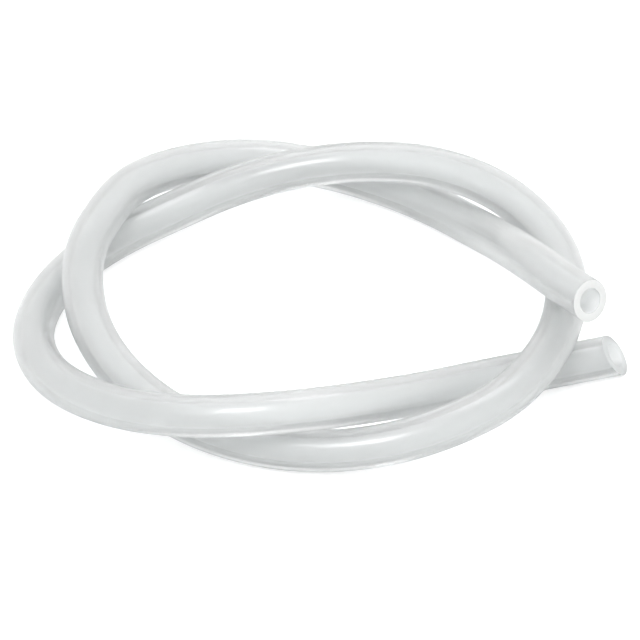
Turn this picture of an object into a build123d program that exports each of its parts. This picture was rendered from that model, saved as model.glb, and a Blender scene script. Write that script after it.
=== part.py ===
"""Silicone tubing coil: one length of soft clear tube, lying in two loose round turns.

Each turn passes over the other one and under it again, so the coil holds itself together
with no tie. One end lies on the table and the other lies on top of the turns. Both ends
are plain cuts, slightly askew, as a knife leaves them.

Millimetres, +Z up. The origin is on the table, below the middle of the coil's box.
"""
import os
from math import cos, pi, radians, sin, tan

from build123d import *

# ---- driving dimensions, mm ----
tube_od = 12.0        # outside of the tube
tube_wall = 2.5       # wall, which leaves a 7 mm bore
strand_gap = 0.6      # room left where one strand lies on another
ring_radius = 75.0    # middle of the tube, from the middle of the ring, on an even turn
ring_x = -2.85        # middle of the ring, from the middle of the coil's box
ring_y = -4.11

# The two cuts: how far in from the tube's drawn end, and which way the cut face looks.
low_cut_in = 6.0        # the end on the table
low_cut_heading = -8.0  # degrees from +X, anticlockwise from above
low_cut_tilt = 30.0     # degrees up from level
top_cut_in = 2.0        # the end on top of the turns
top_cut_heading = -51.0
top_cut_tilt = 13.0

# ---- worked out from these ----
tube_bore = tube_od - 2 * tube_wall
strand_pitch = tube_od + strand_gap   # height from one strand to the strand lying on it
arc_share = 0.45                      # share of the shorter run that each arc takes up

# The route, from the end on the table to the end on top. Each point says how far round it
# is (degrees, clockwise from +X), how far outside the even ring it lies (mm), and how
# many strands lie below it there (0 is on the table).
route = [
    # in from the right under both turns, then up and over at the front
    (12, 19.5, 0), (21, 1.5, 0), (39, -13, 0.15), (58, -12, 0.55),
    (74, -7, 0.90), (88, -1.5, 1.08), (101, 3, 1.08), (115, 7.5, 0.93),
    # outside of the left bend, down to the table
    (131, 10, 0.68), (148, 10, 0.42), (166, 7, 0.20), (184, 3, 0.05),
    (202, 0, 0), (219, -2, 0), (235, -4, 0.13),
    # up and over the other turn at the back, and round the right side on top of it
    (251, -4, 0.44), (267, -4, 0.76), (283, -3, 0.98), (299, -1.5, 1.14),
    (317, -0.5, 1.14), (337, -1, 1.04), (357, -1, 1), (376, 0.5, 1.03), (392, 4, 0.98),
    # down to the table at the front, under the first turn
    (407, 7, 0.76), (420, 6, 0.50), (434, 3.5, 0.22), (449, -0.5, 0), (465, -3, 0),
    # inside of the left bend, up and over at the back
    (482, -5, 0.14), (500, -7, 0.42), (518, -8.5, 0.72), (536, -9.5, 0.96),
    (554, -8, 1.08), (572, -5, 1.12), (588, 3, 0.95), (603, 8.5, 0.69),
    # outside of the back bend, down to the table and under the other turn
    (618, 11.5, 0.44), (633, 9, 0.18), (648, 4, 0.02), (662, -2, 0.04),
    # straight up across the inside of the right bend, and out over both strands
    (678, -10, 0.37), (697, -16, 0.98), (716, -16, 1.56), (732, -9.5, 2.02),
    (742, 2, 2.20), (748, 15, 2.31),
]


def route_point(turned, outside, level):
    """One point of the route as a place in space."""
    angle = -radians(turned)
    radius = ring_radius + outside
    height = tube_od / 2 + strand_pitch * level
    return Vector(ring_x + radius * cos(angle), ring_y + radius * sin(angle), height)


def arc_radii(points):
    """The largest arc that the two runs beside each inner point leave room for."""
    radii = []
    for before, here, after in zip(points, points[1:], points[2:]):
        run_in = here - before
        run_out = after - here
        half_turn = radians(run_in.get_angle(run_out)) / 2
        shorter = min(run_in.length, run_out.length)
        radii.append(arc_share * shorter / tan(half_turn))
    return radii


def cut_plane(centre, heading, tilt):
    """A cut face with its outward side turned to a heading and tilted up."""
    level_part = cos(radians(tilt))
    outward = (
        level_part * cos(radians(heading)),
        level_part * sin(radians(heading)),
        sin(radians(tilt)),
    )
    return Plane(origin=centre, z_dir=outward)


points = [route_point(*row) for row in route]
radii = arc_radii(points)

with BuildPart() as silicone_tube:
    with BuildLine() as middle_line:
        FilletPolyline(*points, radius=radii)
    path = middle_line.wire()
    with BuildSketch(Plane(origin=path @ 0, z_dir=path % 0)):
        Circle(tube_od / 2)
        Circle(tube_bore / 2, mode=Mode.SUBTRACT)
    sweep(path=path)

    # Each end is trimmed by a short round block on its cut face, which reaches no other strand.
    low_centre = points[0] + (path % 0) * low_cut_in
    top_centre = points[-1] - (path % 1) * top_cut_in
    low_cut = cut_plane(low_centre, low_cut_heading, low_cut_tilt)
    top_cut = cut_plane(top_centre, top_cut_heading, top_cut_tilt)
    for face_plane in (low_cut, top_cut):
        with BuildSketch(face_plane):
            Circle(0.8 * tube_od)
        extrude(amount=tube_od, mode=Mode.SUBTRACT)

silicone_tube.part.label = "silicone_tube"

section_area = pi / 4 * (tube_od**2 - tube_bore**2)
cut_length = path.length - low_cut_in - top_cut_in
print("arc radii, mm:", [round(radius) for radius in radii])
print("smallest arc:", round(min(radii), 1), "mm, or", round(min(radii) / tube_od, 1), "diameters")
print("runs, mm:", [round((b - a).length, 1) for a, b in zip(points, points[1:])])
print("tube length, cut to cut:", round(cut_length, 1), "mm")
print("volume:", round(silicone_tube.part.volume), "mm3, and section x length:",
      round(section_area * cut_length))
print("low cut centre:", low_centre, "outward along the tube:", -(path % 0))
print("top cut centre:", top_centre, "outward along the tube:", path % 1)
print("box:", silicone_tube.part.bounding_box())

os.makedirs("parts", exist_ok=True)
export_step(silicone_tube.part, "parts/silicone_tube.step")
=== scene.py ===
# %% [markdown]
# # A loose coil of silicone tubing
#
# The object is one length of soft laboratory tube, 12 mm outside with a 7 mm bore, lying
# in two loose turns that pass over and under each other. This lesson builds its finish:
# first the camera and the line that the tube follows, then the tube with its open cut
# ends, then the cloudy rubber it is made of, and last the light.
#
# The measured model comes first. It holds the tube's real size and place, in metres, and
# the drawn tube has to stay where it is.

# %% Load the measured model
import math

import bpy
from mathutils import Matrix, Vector


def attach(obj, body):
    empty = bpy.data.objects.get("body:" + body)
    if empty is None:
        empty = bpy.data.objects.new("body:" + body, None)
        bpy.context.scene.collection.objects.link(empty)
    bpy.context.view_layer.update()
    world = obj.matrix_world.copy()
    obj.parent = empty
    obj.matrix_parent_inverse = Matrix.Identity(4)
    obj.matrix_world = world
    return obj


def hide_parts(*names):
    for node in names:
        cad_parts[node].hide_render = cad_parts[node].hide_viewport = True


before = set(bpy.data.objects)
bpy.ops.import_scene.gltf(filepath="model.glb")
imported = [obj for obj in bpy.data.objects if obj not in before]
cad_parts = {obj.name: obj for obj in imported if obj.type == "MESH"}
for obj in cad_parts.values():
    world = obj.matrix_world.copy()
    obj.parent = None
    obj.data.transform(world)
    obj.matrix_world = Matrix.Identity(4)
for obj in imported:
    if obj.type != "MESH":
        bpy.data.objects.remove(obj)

MM = 0.001
ring_middle = Vector((-2.85 * MM, -4.11 * MM, 0))     # middle of the coil's ring, on the table
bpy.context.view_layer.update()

# %% [markdown]
# ## Camera
#
# The camera looks down at about thirty degrees, so the ring shows as an oval. It stands far
# off with a long lens, which keeps the far side of the ring nearly as large as the near side.

# %% Camera
scene = bpy.context.scene
view_tilt = math.radians(30.5)     # how far the camera looks down
view_distance = 1.8                # metres from the coil
view_centre = ring_middle + Vector((2.95 * MM, 8.2 * MM, 0))
camera_data = bpy.data.cameras.new("camera")
camera_data.sensor_width = 36
camera_data.lens = 350.3
camera = bpy.data.objects.new("camera", camera_data)
scene.collection.objects.link(camera)
camera.location = view_centre + view_distance * Vector((0, -math.cos(view_tilt), math.sin(view_tilt)))
camera.rotation_euler = (math.pi / 2 - view_tilt, 0, 0)
scene.camera = camera
print("camera at", [round(v, 3) for v in camera.location], "with a lens of", camera_data.lens, "mm")

# %% [markdown]
# ## The line of the tube
#
# A soft tube has no corners. Its line is one smooth NURBS curve that a few dozen control
# points pull into place. The points are laid out round the ring, so each one says how far
# round it is, how far outside the even ring it lies, and how many strands lie below it.
# The height follows from the tube's thickness, so a strand that crosses another rests on it.

# %% Route of the tube
tube_od = 12.0 * MM
tube_wall = 2.5 * MM
strand_gap = 0.6 * MM         # left where one strand lies on another
ring_radius = 75.0 * MM
strand_pitch = tube_od + strand_gap

# Degrees clockwise from +X, millimetres outside the ring, and strands below.
route = [
    # in from the right under both turns, then up and over at the front
    (12, 19.5, 0), (21, 1.5, 0), (39, -13, 0.15), (58, -12, 0.55),
    (74, -7, 0.90), (88, -1.5, 1.08), (101, 3, 1.08), (115, 7.5, 0.93),
    # outside of the left bend, down to the table
    (131, 10, 0.68), (148, 10, 0.42), (166, 7, 0.20), (184, 3, 0.05),
    (202, 0, 0), (219, -2, 0), (235, -4, 0.13),
    # up and over the other turn at the back, and round the right side on top of it
    (251, -4, 0.44), (267, -4, 0.76), (283, -3, 0.98), (299, -1.5, 1.14),
    (317, -0.5, 1.14), (337, -1, 1.04), (357, -1, 1), (376, 0.5, 1.03), (392, 4, 0.98),
    # down to the table at the front, under the first turn
    (407, 7, 0.76), (420, 6, 0.50), (434, 3.5, 0.22), (449, -0.5, 0), (465, -3, 0),
    # inside of the left bend, up and over at the back
    (482, -5, 0.14), (500, -7, 0.42), (518, -8.5, 0.72), (536, -9.5, 0.96),
    (554, -8, 1.08), (572, -5, 1.12), (588, 3, 0.95), (603, 8.5, 0.69),
    # outside of the back bend, down to the table and under the other turn
    (618, 11.5, 0.44), (633, 9, 0.18), (648, 4, 0.02), (662, -2, 0.04),
    # straight up across the inside of the right bend, and out over both strands
    (678, -10, 0.37), (697, -16, 0.98), (716, -16, 1.56), (732, -9.5, 2.02),
    (742, 2, 2.20), (748, 15, 2.31),
]


def route_point(turned, outside, level):
    """One control point of the tube's line, in metres."""
    angle = -math.radians(turned)
    radius = ring_radius + outside * MM
    height = tube_od / 2 + strand_pitch * level
    return ring_middle + Vector((radius * math.cos(angle), radius * math.sin(angle), height))


# %% The NURBS curve and the points read from it
curve = bpy.data.curves.new("tube_line", "CURVE")
curve.dimensions = "3D"
curve.resolution_u = 10
spline = curve.splines.new("NURBS")
spline.points.add(len(route) - 1)
for control, row in zip(spline.points, route):
    control.co = (*route_point(*row), 1)
spline.order_u = 3
spline.use_endpoint_u = True
line_object = bpy.data.objects.new("tube_line", curve)
scene.collection.objects.link(line_object)
bpy.context.view_layer.update()
line_mesh = bpy.data.meshes.new_from_object(line_object.evaluated_get(bpy.context.evaluated_depsgraph_get()))
line = [vertex.co.copy() for vertex in line_mesh.vertices]
bpy.data.objects.remove(line_object)
bpy.data.meshes.remove(line_mesh)
drawn_length = sum((b - a).length for a, b in zip(line, line[1:]))
print("the line has", len(line), "points over", round(drawn_length / MM), "mm")

# %% [markdown]
# ## The tube's wall
#
# The tube could be a curve with a round bevel, but that gives a skin with no bore. Light in
# a clear tube bends at the outside and again at the bore, and the bright and dark bands
# along it come from both. So the wall is real: a ring of points is carried along the line
# without twisting, once at the outside and once at the bore.

# %% Rings carried along the line
points_around = 48


def ring_frames(line):
    """Two directions across the line at each point, carried along it without twist."""
    frames = []
    across = Vector((0, 0, 1))
    for index, point in enumerate(line):
        along = (line[min(index + 1, len(line) - 1)] - line[max(index - 1, 0)]).normalized()
        across = (across - along * across.dot(along)).normalized()
        frames.append((point, across.copy(), along.cross(across)))
    return frames


def skin(frames, radius, outward):
    """One round skin along the line, as points and faces, facing outwards or into the bore."""
    vertices = []
    faces = []
    for point, across, other in frames:
        for step in range(points_around):
            turn = 2 * math.pi * step / points_around
            vertices.append(point + radius * (math.cos(turn) * across + math.sin(turn) * other))
    for ring in range(len(frames) - 1):
        for step in range(points_around):
            here = ring * points_around + step
            beside = ring * points_around + (step + 1) % points_around
            face = (here, beside, beside + points_around, here + points_around)
            faces.append(face if outward else face[::-1])
    return vertices, faces


frames = ring_frames(line)
outside_points, outside_faces = skin(frames, tube_od / 2, True)
bore_points, bore_faces = skin(frames, tube_od / 2 - tube_wall, False)
first_bore = len(outside_points)
bore_faces = [tuple(first_bore + corner for corner in face) for face in bore_faces]
tube_mesh = bpy.data.meshes.new("silicone_tubing")
tube_mesh.from_pydata(outside_points + bore_points, [], outside_faces + bore_faces)
tube = bpy.data.objects.new("silicone_tubing", tube_mesh)
scene.collection.objects.link(tube)
outside_slot, bore_slot, matt_cut_slot, clear_cut_slot = range(4)
for _ in range(4):
    tube_mesh.materials.append(None)
for face in tube_mesh.polygons[len(outside_faces):]:
    face.material_index = bore_slot
print("the two skins have", len(tube_mesh.polygons), "faces")

# %% [markdown]
# Extruded tube carries faint streaks along its length, so its finish needs to know which way
# the tube runs. Each point keeps its place as if the tube were pulled straight: across,
# across, and the distance along it.

# %% Places on the straightened tube
straight = tube_mesh.attributes.new("straight_place", "FLOAT_VECTOR", "POINT")
distances = [0.0]
for a, b in zip(line, line[1:]):
    distances.append(distances[-1] + (b - a).length)
for index in range(len(tube_mesh.vertices)):
    skin_index = index % first_bore
    radius = tube_od / 2 if index < first_bore else tube_od / 2 - tube_wall
    turn = 2 * math.pi * (skin_index % points_around) / points_around
    place = (radius * math.cos(turn), radius * math.sin(turn), distances[skin_index // points_around])
    straight.data[index].vector = place
print("streaks will follow", round(distances[-1], 3), "m of tube")

# %% [markdown]
# ## The cut ends
#
# Both ends are flat cuts, and neither is square. The end on the table is cut at a steep
# slant and looks up, so its bore shows as a narrow oval. The top end is nearly square.
# Each skin is cut with bisect on the slanted plane, near that end only, and the two open
# edges are bridged with a flat ring.

# %% Cut and close one end
cut_reach = 18 * MM            # length of tube at each end within which the cut is made
low_cut_in = 6 * MM            # from each end of the line to the middle of the cut there
top_cut_in = 2 * MM
short_edge = 0.06 * MM         # slivers that the slanted cut leaves, merged before it is closed


def cut_direction(heading, tilt):
    """The way a cut face looks: a heading from +X, and a tilt up from level, in degrees."""
    heading = math.radians(heading)
    tilt = math.radians(tilt)
    level_part = math.cos(tilt)
    return Vector((level_part * math.cos(heading), level_part * math.sin(heading), math.sin(tilt)))


def cut_end(centre, looks, first, last):
    """Slice the tube on a slanted plane between two distances along it, and close its wall."""
    bpy.ops.object.select_all(action="DESELECT")
    tube.select_set(True)
    bpy.context.view_layer.objects.active = tube
    for part in (tube_mesh.vertices, tube_mesh.edges, tube_mesh.polygons):
        part.foreach_set("select", [False] * len(part))
    along = [point.vector.z for point in tube_mesh.attributes["straight_place"].data]
    for face in tube_mesh.polygons:
        face.select = all(first <= along[v] <= last for v in face.vertices)
    bpy.ops.object.mode_set(mode="EDIT")
    bpy.ops.mesh.select_mode(type="FACE")
    bpy.ops.mesh.bisect(plane_co=centre, plane_no=looks, clear_outer=True, threshold=1e-7)
    bpy.ops.mesh.select_all(action="SELECT")
    bpy.ops.mesh.remove_doubles(threshold=short_edge)
    bpy.ops.mesh.select_mode(type="EDGE")
    bpy.ops.mesh.select_all(action="DESELECT")
    bpy.ops.mesh.select_non_manifold(extend=False, use_wire=False, use_boundary=True,
                                     use_multi_face=False, use_non_contiguous=False, use_verts=False)
    bpy.ops.object.mode_set(mode="OBJECT")
    for edge in tube_mesh.edges:
        corners = [tube_mesh.vertices[v].co - centre for v in edge.vertices]
        on_cut = all(abs(corner.dot(looks)) < 0.05 * MM and corner.length < tube_od for corner in corners)
        edge.select = edge.select and on_cut
    bpy.ops.object.mode_set(mode="EDIT")
    bpy.ops.mesh.bridge_edge_loops()
    bpy.ops.object.mode_set(mode="OBJECT")
    print("cut an end; the tube now has", len(tube_mesh.polygons), "faces")


# %% Both ends
def along_line(distance):
    """The point at a distance along the line."""
    for index, (a, b) in enumerate(zip(line, line[1:])):
        if distances[index + 1] >= distance:
            return a + (b - a).normalized() * (distance - distances[index])
    return line[-1]


low_centre = along_line(low_cut_in)
top_centre = along_line(distances[-1] - top_cut_in)
low_looks = cut_direction(heading=-8, tilt=30)
top_looks = cut_direction(heading=-51, tilt=13)
cut_end(low_centre, low_looks, 0, cut_reach)
cut_end(top_centre, top_looks, distances[-1] - cut_reach, distances[-1])

# %% [markdown]
# The rim of a cut in soft rubber is crisp but not a razor's edge. A bevel a quarter of a
# millimetre wide catches a thin line of light there.

# %% Soften the rims and smooth the skins
rim_width = 0.25 * MM
softened = tube.modifiers.new("rims", "BEVEL")
softened.width = rim_width
softened.segments = 2
softened.limit_method = "ANGLE"
softened.angle_limit = math.radians(35)
bpy.ops.object.modifier_apply(modifier="rims")
tube_mesh.shade_smooth()
bpy.ops.object.shade_smooth_by_angle(angle=math.radians(40))
print("finished tube:", len(tube_mesh.polygons), "faces")

# %% [markdown]
# ## Finishes
#
# Silicone rubber filled for laboratory tube is neither clear nor white. Its index is about
# 1.41, and fine filler scatters part of the light inside it. The finish mixes the two: most
# of the light passes with a soft blur, and the rest comes back as a milky white. The clear
# share only varies between 0.80 and 0.90, so the clouding stays faint.

# %% Colour and node helpers
def linear(hex_colour):
    """An sRGB hex colour as linear red, green, blue and alpha."""
    channels = [int(hex_colour[i:i + 2], 16) / 255 for i in (1, 3, 5)]
    curve_up = [c / 12.92 if c <= 0.04045 else ((c + 0.055) / 1.055) ** 2.4 for c in channels]
    return (*curve_up, 1)


def add_node(material, kind, settings=(), inputs=(), links=()):
    """Add a node with its settings, its fixed inputs, and links from other nodes' outputs."""
    node = material.node_tree.nodes.new(kind)
    for name, value in dict(settings).items():
        setattr(node, name, value)
    for name, value in dict(inputs).items():
        node.inputs[name].default_value = value
    for name, (source, output) in dict(links).items():
        material.node_tree.links.new(source.outputs[output], node.inputs[name])
    return node


def new_material(name):
    """An empty material with its output node."""
    material = bpy.data.materials.new(name)
    material.use_nodes = True
    material.node_tree.nodes.clear()
    return material, add_node(material, "ShaderNodeOutputMaterial")


# %% Cloudy silicone rubber
silicone, silicone_output = new_material("cloudy_silicone_rubber")
place = add_node(silicone, "ShaderNodeAttribute", {"attribute_name": "straight_place"})
streak_place = add_node(
    silicone, "ShaderNodeMapping",
    inputs={"Scale": (1 / (3 * MM), 1 / (3 * MM), 1 / (90 * MM))},       # streaks 3 mm wide, 90 mm long
    links={"Vector": (place, "Vector")})
streaks = add_node(silicone, "ShaderNodeTexNoise", inputs={"Scale": 1, "Detail": 3},
                   links={"Vector": (streak_place, "Vector")})
cloud_place = add_node(
    silicone, "ShaderNodeMapping",
    inputs={"Scale": (1 / (14 * MM), 1 / (14 * MM), 1 / (60 * MM))},     # clouds 14 mm by 60 mm
    links={"Vector": (place, "Vector")})
clouds = add_node(silicone, "ShaderNodeTexNoise", inputs={"Scale": 1, "Detail": 2},
                  links={"Vector": (cloud_place, "Vector")})
tint = add_node(
    silicone, "ShaderNodeMix", {"data_type": "RGBA"},
    {6: linear("#F7F9F9"), 7: linear("#FFFFFF")}, {0: (clouds, "Fac")})
clearness = add_node(
    silicone, "ShaderNodeMapRange",
    inputs={"From Min": 0.3, "From Max": 0.7, "To Min": 0.80, "To Max": 0.90},
    links={"Value": (clouds, "Fac")})
relief = add_node(silicone, "ShaderNodeBump", inputs={"Strength": 0.2, "Distance": 0.1 * MM},
                  links={"Height": (streaks, "Fac")})
silicone_surface = add_node(
    silicone, "ShaderNodeBsdfPrincipled",
    inputs={"Roughness": 0.24, "IOR": 1.41, "Coat Weight": 0.4, "Coat Roughness": 0.15, "Coat IOR": 1.41},
    links={"Base Color": (tint, 2), "Transmission Weight": (clearness, "Result"),
           "Normal": (relief, "Normal")})
silicone.node_tree.links.new(silicone_surface.outputs[0], silicone_output.inputs["Surface"])
silicone_depth = add_node(silicone, "ShaderNodeVolumeAbsorption",
                          inputs={"Color": linear("#DDE3E4"), "Density": 4})
silicone.node_tree.links.new(silicone_depth.outputs[0], silicone_output.inputs["Volume"])
tube_mesh.materials[outside_slot] = silicone
print("made", silicone.name)

# %% [markdown]
# The bore is duller than the outside, and a shade greyer: painted shade for the dark inside
# of the bore. Seen through the wall, the painted shade gives the cool grey bands inside the tube.

# %% Dull bore with painted shade
bore_silicone, bore_output = new_material("bore_silicone_with_painted_shade")
bore_place = add_node(bore_silicone, "ShaderNodeAttribute", {"attribute_name": "straight_place"})
bore_shade_streak_place = add_node(
    bore_silicone, "ShaderNodeMapping",
    inputs={"Scale": (1 / (3 * MM), 1 / (3 * MM), 1 / (45 * MM))},       # streaks in the painted shade, 3 mm by 45 mm
    links={"Vector": (bore_place, "Vector")})
bore_shade_streaks = add_node(bore_silicone, "ShaderNodeTexNoise", inputs={"Scale": 1, "Detail": 3},
                       links={"Vector": (bore_shade_streak_place, "Vector")})
# Painted shade: the bore's two greys are darker than the outside's, to stand for the shadow inside the bore.
bore_painted_shade = add_node(
    bore_silicone, "ShaderNodeMix", {"data_type": "RGBA"},
    {6: linear("#EEF0F0"), 7: linear("#FAFBFB")}, {0: (bore_shade_streaks, "Fac")})
bore_surface = add_node(
    bore_silicone, "ShaderNodeBsdfPrincipled",
    inputs={"Roughness": 0.4, "IOR": 1.41, "Transmission Weight": 0.6},
    links={"Base Color": (bore_painted_shade, 2)})
bore_silicone.node_tree.links.new(bore_surface.outputs[0], bore_output.inputs["Surface"])
tube_mesh.materials[bore_slot] = bore_silicone
print("made", bore_silicone.name)

# %% [markdown]
# The two cuts differ. The top end's face has a fine grain that scatters light, so it looks
# matt and white. The face of the end on the table is smoother, and nearly as clear as the
# rest of the tube.

# %% Cut faces
def cut_face_material(name, dark, pale, clearness, roughness, relief):
    """A cut face: its two tones, how clear and how rough it is, and how deep its grain is."""
    material, output = new_material(name)
    spot = add_node(material, "ShaderNodeTexCoord")
    grain = add_node(material, "ShaderNodeTexNoise",
                     inputs={"Scale": 1 / (0.8 * MM), "Detail": 3},      # grain 0.8 mm across
                     links={"Vector": (spot, "Object")})
    tones = add_node(material, "ShaderNodeMix", {"data_type": "RGBA"},
                     {6: linear(dark), 7: linear(pale)}, {0: (grain, "Fac")})
    height = add_node(material, "ShaderNodeBump", inputs={"Strength": relief, "Distance": 0.05 * MM},
                      links={"Height": (grain, "Fac")})
    surface = add_node(
        material, "ShaderNodeBsdfPrincipled",
        inputs={"Roughness": roughness, "IOR": 1.41, "Transmission Weight": clearness},
        links={"Base Color": (tones, 2), "Normal": (height, "Normal")})
    material.node_tree.links.new(surface.outputs[0], output.inputs["Surface"])
    return material


tube_mesh.materials[matt_cut_slot] = cut_face_material(
    "matt_silicone_face", "#DADBDA", "#E4E5E4", 0.05, 0.6, 0.2)
tube_mesh.materials[clear_cut_slot] = cut_face_material(
    "clear_silicone_face", "#DFE2E2", "#ECEEEE", 0.5, 0.35, 0.05)
cut_faces = {matt_cut_slot: 0, clear_cut_slot: 0}
for face in tube_mesh.polygons:
    for cut_slot, centre, looks in ((matt_cut_slot, top_centre, top_looks),
                                    (clear_cut_slot, low_centre, low_looks)):
        if (face.center - centre).length < tube_od and face.normal.dot(looks) > 0.995:
            face.material_index = cut_slot
            cut_faces[cut_slot] += 1
print("faces on the matt and the clear cut:", list(cut_faces.values()))

# %% [markdown]
# ## Placing the tube
#
# The drawn tube, a limp hose lying in a coil, takes the measured tube's place. Its length
# from cut to cut is measured along the line that it follows.

# %% The tube in the measured tube's place
kept_line = [low_centre]
for distance, point in zip(distances, line):
    if low_cut_in < distance < distances[-1] - top_cut_in:
        kept_line.append(point)
kept_line.append(top_centre)
kept_length = sum((b - a).length for a, b in zip(kept_line, kept_line[1:]))
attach(tube, "root")
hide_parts("silicone_tube")
print("drawn length, cut to cut:", round(kept_length / MM), "mm")

# %% [markdown]
# ## Floor and light
#
# Clear rubber shows what is around it. The room is white, and the sheet below is a pale
# grey that the rubber picks up in its edges and its bore. A glow lifts the bare sheet to
# white: it is strong to the camera and faint through the rubber. The lamps are softboxes,
# so the highlights are long and soft.

# %% White floor
bpy.ops.mesh.primitive_plane_add(size=6, location=(0, 0, 0))
floor = bpy.context.object
floor.name = "floor"
floor_material, floor_output = new_material("white_sheet")
ray = add_node(floor_material, "ShaderNodeLightPath")
through = add_node(floor_material, "ShaderNodeMath", {"operation": "MAXIMUM"},
                   links={0: (ray, "Is Transmission Ray"), 1: (ray, "Is Glossy Ray")})
dim_glow = add_node(floor_material, "ShaderNodeMath", {"operation": "MULTIPLY"},
                    {1: 0.18}, {0: (through, "Value")})          # in the rubber: nearly white
glow = add_node(floor_material, "ShaderNodeMath", {"operation": "MULTIPLY_ADD"},
                {1: 0.6}, {0: (ray, "Is Camera Ray"), 2: (dim_glow, "Value")})
paper = add_node(floor_material, "ShaderNodeBsdfPrincipled",
                 inputs={"Base Color": linear("#E0E2E2"), "Roughness": 0.9,
                         "Specular IOR Level": 0.1, "Emission Color": (1, 1, 1, 1)},
                 links={"Emission Strength": (glow, "Value")})
floor_material.node_tree.links.new(paper.outputs[0], floor_output.inputs["Surface"])
floor.data.materials.append(floor_material)
print("made the floor")

# %% World
world = bpy.data.worlds.new("studio")
scene.world = world
world.use_nodes = True
background = world.node_tree.nodes["Background"]
background.inputs["Color"].default_value = (1, 1, 1, 1)
background.inputs["Strength"].default_value = 1
print("the room is plain white")


# %% Softboxes
def softbox(name, place, size, watts):
    """A square lamp that looks at the coil."""
    lamp = bpy.data.lights.new(name, "AREA")
    lamp.size = size
    lamp.energy = watts
    holder = bpy.data.objects.new(name, lamp)
    holder.location = place
    holder.rotation_euler = Vector(place).to_track_quat("Z", "Y").to_euler()
    scene.collection.objects.link(holder)
    print("lamp", name, "of", watts, "W")


softbox("front_softbox", (-0.15, -0.7, 1.0), 0.35, 5)
softbox("top_softbox", (0.3, 0.2, 1.2), 0.5, 3)

# %% [markdown]
# ## Finish
#
# The colours are shown plainly, with no film look.

# %% Plain colours
scene.view_settings.view_transform = "Standard"
